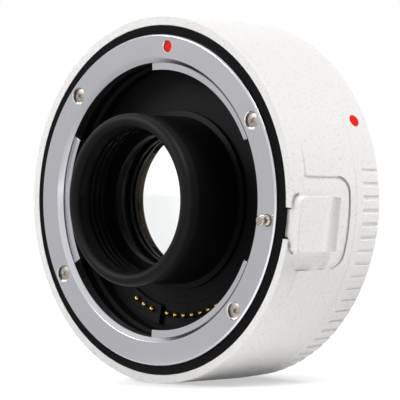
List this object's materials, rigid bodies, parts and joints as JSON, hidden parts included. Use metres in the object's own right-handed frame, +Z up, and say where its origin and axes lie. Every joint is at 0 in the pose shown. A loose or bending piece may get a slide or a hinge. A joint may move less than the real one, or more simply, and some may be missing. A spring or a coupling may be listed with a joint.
{
  "type": "camera teleconverter",
  "caption": "White teleconverter with a chrome bayonet on each side, a black nose with coated glass, sprung gold contacts and a sprung release slider with its lock pin.",
  "frame": {"origin": "centre of the camera-side flange face, on the optical axis", "axes": "+Y along the optical axis towards the camera body, -Y towards the lens, +Z up, +X to the right seen from the lens side"},
  "size_m": [0.0739, 0.0405, 0.072],
  "materials": {
    "white_enamel": "fine-textured warm white enamel",
    "satin_chrome": "turned, satin",
    "steel": "bright",
    "gold_plate": "gold plated",
    "red_enamel": "filled enamel",
    "black_anodised": "black anodised, matt",
    "black_plastic": "moulded, matt",
    "black_gloss": "gloss",
    "coated_glass": "multi-coated",
    "circuit_board": "solder mask",
    "polyimide": "film",
    "connector_plastic": "moulded"
  },
  "bodies": {
    "converter": {"front_barrel": "white_enamel", "rear_grip_ring": "white_enamel", "barrel_index_dot": "red_enamel", "front_index_dot": "red_enamel", "front_mount_ring": "satin_chrome", "rear_mount_ring": "satin_chrome", "front_mount_screws": "steel", "rear_mount_screws": "steel", "barrel_screws": "steel", "cover_screws": "steel", "contact_block_screws": "steel", "board_screws": "steel", "rear_baffle_screws": "steel", "rear_contact_screws": "steel", "lock_spring": "steel", "contact_springs": "steel", "bayonet_leaf_spring": "steel", "chassis": "black_anodised", "nose_tube": "black_anodised", "nose_lock_ring": "black_anodised", "lens_cell": "black_anodised", "lens_retaining_ring": "black_anodised", "lens_spacer_1": "black_anodised", "lens_spacer_2": "black_anodised", "front_trim_ring": "black_gloss", "front_inner_cover": "black_plastic", "nose_bumper": "black_plastic", "front_contact_block": "black_plastic", "rear_contact_block": "black_plastic", "rear_baffle": "black_plastic", "controller_chip": "black_plastic", "rear_contact_pads": "gold_plate", "main_board": "circuit_board", "front_flex": "polyimide", "rear_flex": "polyimide", "board_connectors": "connector_plastic", "lens_element_1": "coated_glass", "lens_element_2": "coated_glass", "lens_element_3": "coated_glass", "lens_element_4": "coated_glass", "lens_element_5": "coated_glass"},
    "release": {"release_lever": "white_enamel", "lever_carrier": "steel", "lever_screws": "steel", "lock_pin": "steel"},
    "contact_01": {"contact_pin_01": "gold_plate"},
    "contact_02": {"contact_pin_02": "gold_plate"},
    "contact_03": {"contact_pin_03": "gold_plate"},
    "contact_04": {"contact_pin_04": "gold_plate"},
    "contact_05": {"contact_pin_05": "gold_plate"},
    "contact_06": {"contact_pin_06": "gold_plate"},
    "contact_07": {"contact_pin_07": "gold_plate"},
    "contact_08": {"contact_pin_08": "gold_plate"},
    "contact_09": {"contact_pin_09": "gold_plate"},
    "contact_10": {"contact_pin_10": "gold_plate"},
    "contact_11": {"contact_pin_11": "gold_plate"}
  },
  "joints": [
    {"name": "release_slide", "type": "slide", "parent": "converter", "child": "release", "axis": [0, 1, 0], "range_m": [0, 0.0024], "stiffness_N_per_m": 400, "deforming": ["lock_spring"]},
    {"name": "contact_slide_01", "type": "slide", "parent": "converter", "child": "contact_01", "axis": [0, 1, 0], "range_m": [0, 0.0008], "stiffness_N_per_m": 200, "deforming": ["contact_springs"]},
    {"name": "contact_slide_02", "type": "slide", "parent": "converter", "child": "contact_02", "axis": [0, 1, 0], "range_m": [0, 0.0008], "stiffness_N_per_m": 200, "deforming": ["contact_springs"]},
    {"name": "contact_slide_03", "type": "slide", "parent": "converter", "child": "contact_03", "axis": [0, 1, 0], "range_m": [0, 0.0008], "stiffness_N_per_m": 200, "deforming": ["contact_springs"]},
    {"name": "contact_slide_04", "type": "slide", "parent": "converter", "child": "contact_04", "axis": [0, 1, 0], "range_m": [0, 0.0008], "stiffness_N_per_m": 200, "deforming": ["contact_springs"]},
    {"name": "contact_slide_05", "type": "slide", "parent": "converter", "child": "contact_05", "axis": [0, 1, 0], "range_m": [0, 0.0008], "stiffness_N_per_m": 200, "deforming": ["contact_springs"]},
    {"name": "contact_slide_06", "type": "slide", "parent": "converter", "child": "contact_06", "axis": [0, 1, 0], "range_m": [0, 0.0008], "stiffness_N_per_m": 200, "deforming": ["contact_springs"]},
    {"name": "contact_slide_07", "type": "slide", "parent": "converter", "child": "contact_07", "axis": [0, 1, 0], "range_m": [0, 0.0008], "stiffness_N_per_m": 200, "deforming": ["contact_springs"]},
    {"name": "contact_slide_08", "type": "slide", "parent": "converter", "child": "contact_08", "axis": [0, 1, 0], "range_m": [0, 0.0008], "stiffness_N_per_m": 200, "deforming": ["contact_springs"]},
    {"name": "contact_slide_09", "type": "slide", "parent": "converter", "child": "contact_09", "axis": [0, 1, 0], "range_m": [0, 0.0008], "stiffness_N_per_m": 200, "deforming": ["contact_springs"]},
    {"name": "contact_slide_10", "type": "slide", "parent": "converter", "child": "contact_10", "axis": [0, 1, 0], "range_m": [0, 0.0008], "stiffness_N_per_m": 200, "deforming": ["contact_springs"]},
    {"name": "contact_slide_11", "type": "slide", "parent": "converter", "child": "contact_11", "axis": [0, 1, 0], "range_m": [0, 0.0008], "stiffness_N_per_m": 200, "deforming": ["contact_springs"]}
  ]
}
